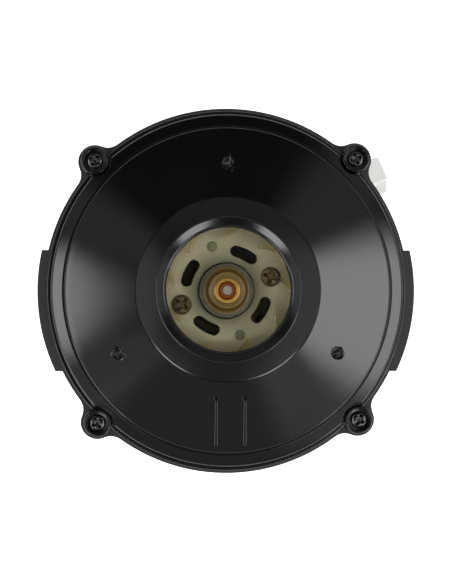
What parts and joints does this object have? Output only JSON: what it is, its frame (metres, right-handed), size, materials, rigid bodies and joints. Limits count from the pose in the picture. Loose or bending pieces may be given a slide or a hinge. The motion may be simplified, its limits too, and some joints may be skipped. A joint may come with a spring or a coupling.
{
  "type": "vacuum motor unit",
  "caption": "Suction motor unit: small DC motor on a rubber rear mount, driving a clear impeller under a round black cover with a central inlet.",
  "frame": {"origin": "on the shaft axis, at the underside of the rear mount", "axes": "+Z along the shaft towards the inlet; the four cover screws lie near the diagonals of X and Y, the locating pads on +X and -X"},
  "size_m": [0.1172, 0.1132, 0.0879],
  "materials": {
    "gloss_black": "glossy black moulded plastic",
    "matte_black": "fine-textured black moulded plastic",
    "seal_rubber": "soft black rubber",
    "clear_amber": "clear amber-tinted plastic",
    "zinc_plate": "bright zinc plating",
    "steel": "ground steel",
    "brass": "bare brass",
    "lock_red": "set orange-red locking compound",
    "laminations": "varnished electrical steel",
    "copper": "enamelled copper",
    "ferrite": "sintered ferrite",
    "carbon": "pressed carbon",
    "fibre": "brown insulating fibre",
    "white_nylon": "white nylon",
    "red_lead": "red lead insulation",
    "black_lead": "black lead insulation"
  },
  "bodies": {
    "motor_unit": {"fan_cover": "gloss_black", "inlet_ring": "gloss_black", "cover_seal": "seal_rubber", "cover_screws": "steel", "fan_housing": "matte_black", "diffuser": "matte_black", "front_bearing_outer_race": "steel", "rear_bearing_outer_race": "steel", "motor_can": "zinc_plate", "motor_plate": "zinc_plate", "motor_screws": "steel", "plate_screws": "steel", "flux_ring": "zinc_plate", "magnets": "ferrite", "magnet_clips": "steel", "end_bell": "matte_black", "brush_holders": "brass", "brushes": "carbon", "brush_springs": "steel", "terminals": "brass", "rear_mount": "seal_rubber", "lead_red": "red_lead", "lead_black": "black_lead", "connector_housing": "white_nylon", "connector_contacts": "brass"},
    "rotor": {"shaft": "steel", "armature_core": "laminations", "core_insulators": "fibre", "armature_windings": "copper", "commutator": "copper", "shaft_spacers": "fibre", "front_bearing_inner_race": "steel", "rear_bearing_inner_race": "steel", "impeller": "clear_amber", "impeller_shroud": "clear_amber", "impeller_bush": "brass", "lock_ring": "lock_red"},
    "front_ball_set": {"front_bearing_balls": "steel"},
    "rear_ball_set": {"rear_bearing_balls": "steel"}
  },
  "joints": [
    {"name": "rotor_spin", "type": "hinge", "parent": "motor_unit", "child": "rotor", "pos_m": [0, 0, 0.0679], "axis": [0, 0, 1], "continuous": true},
    {"name": "front_balls_orbit", "type": "hinge", "parent": "motor_unit", "child": "front_ball_set", "pos_m": [0, 0, 0.0679], "axis": [0, 0, 1], "continuous": true},
    {"name": "rear_balls_orbit", "type": "hinge", "parent": "motor_unit", "child": "rear_ball_set", "pos_m": [0, 0, 0.0086], "axis": [0, 0, 1], "continuous": true}
  ],
  "couplings": [
    {"joint": "front_balls_orbit", "follows": "rotor_spin", "ratio": 0.3417},
    {"joint": "rear_balls_orbit", "follows": "rotor_spin", "ratio": 0.3417}
  ]
}
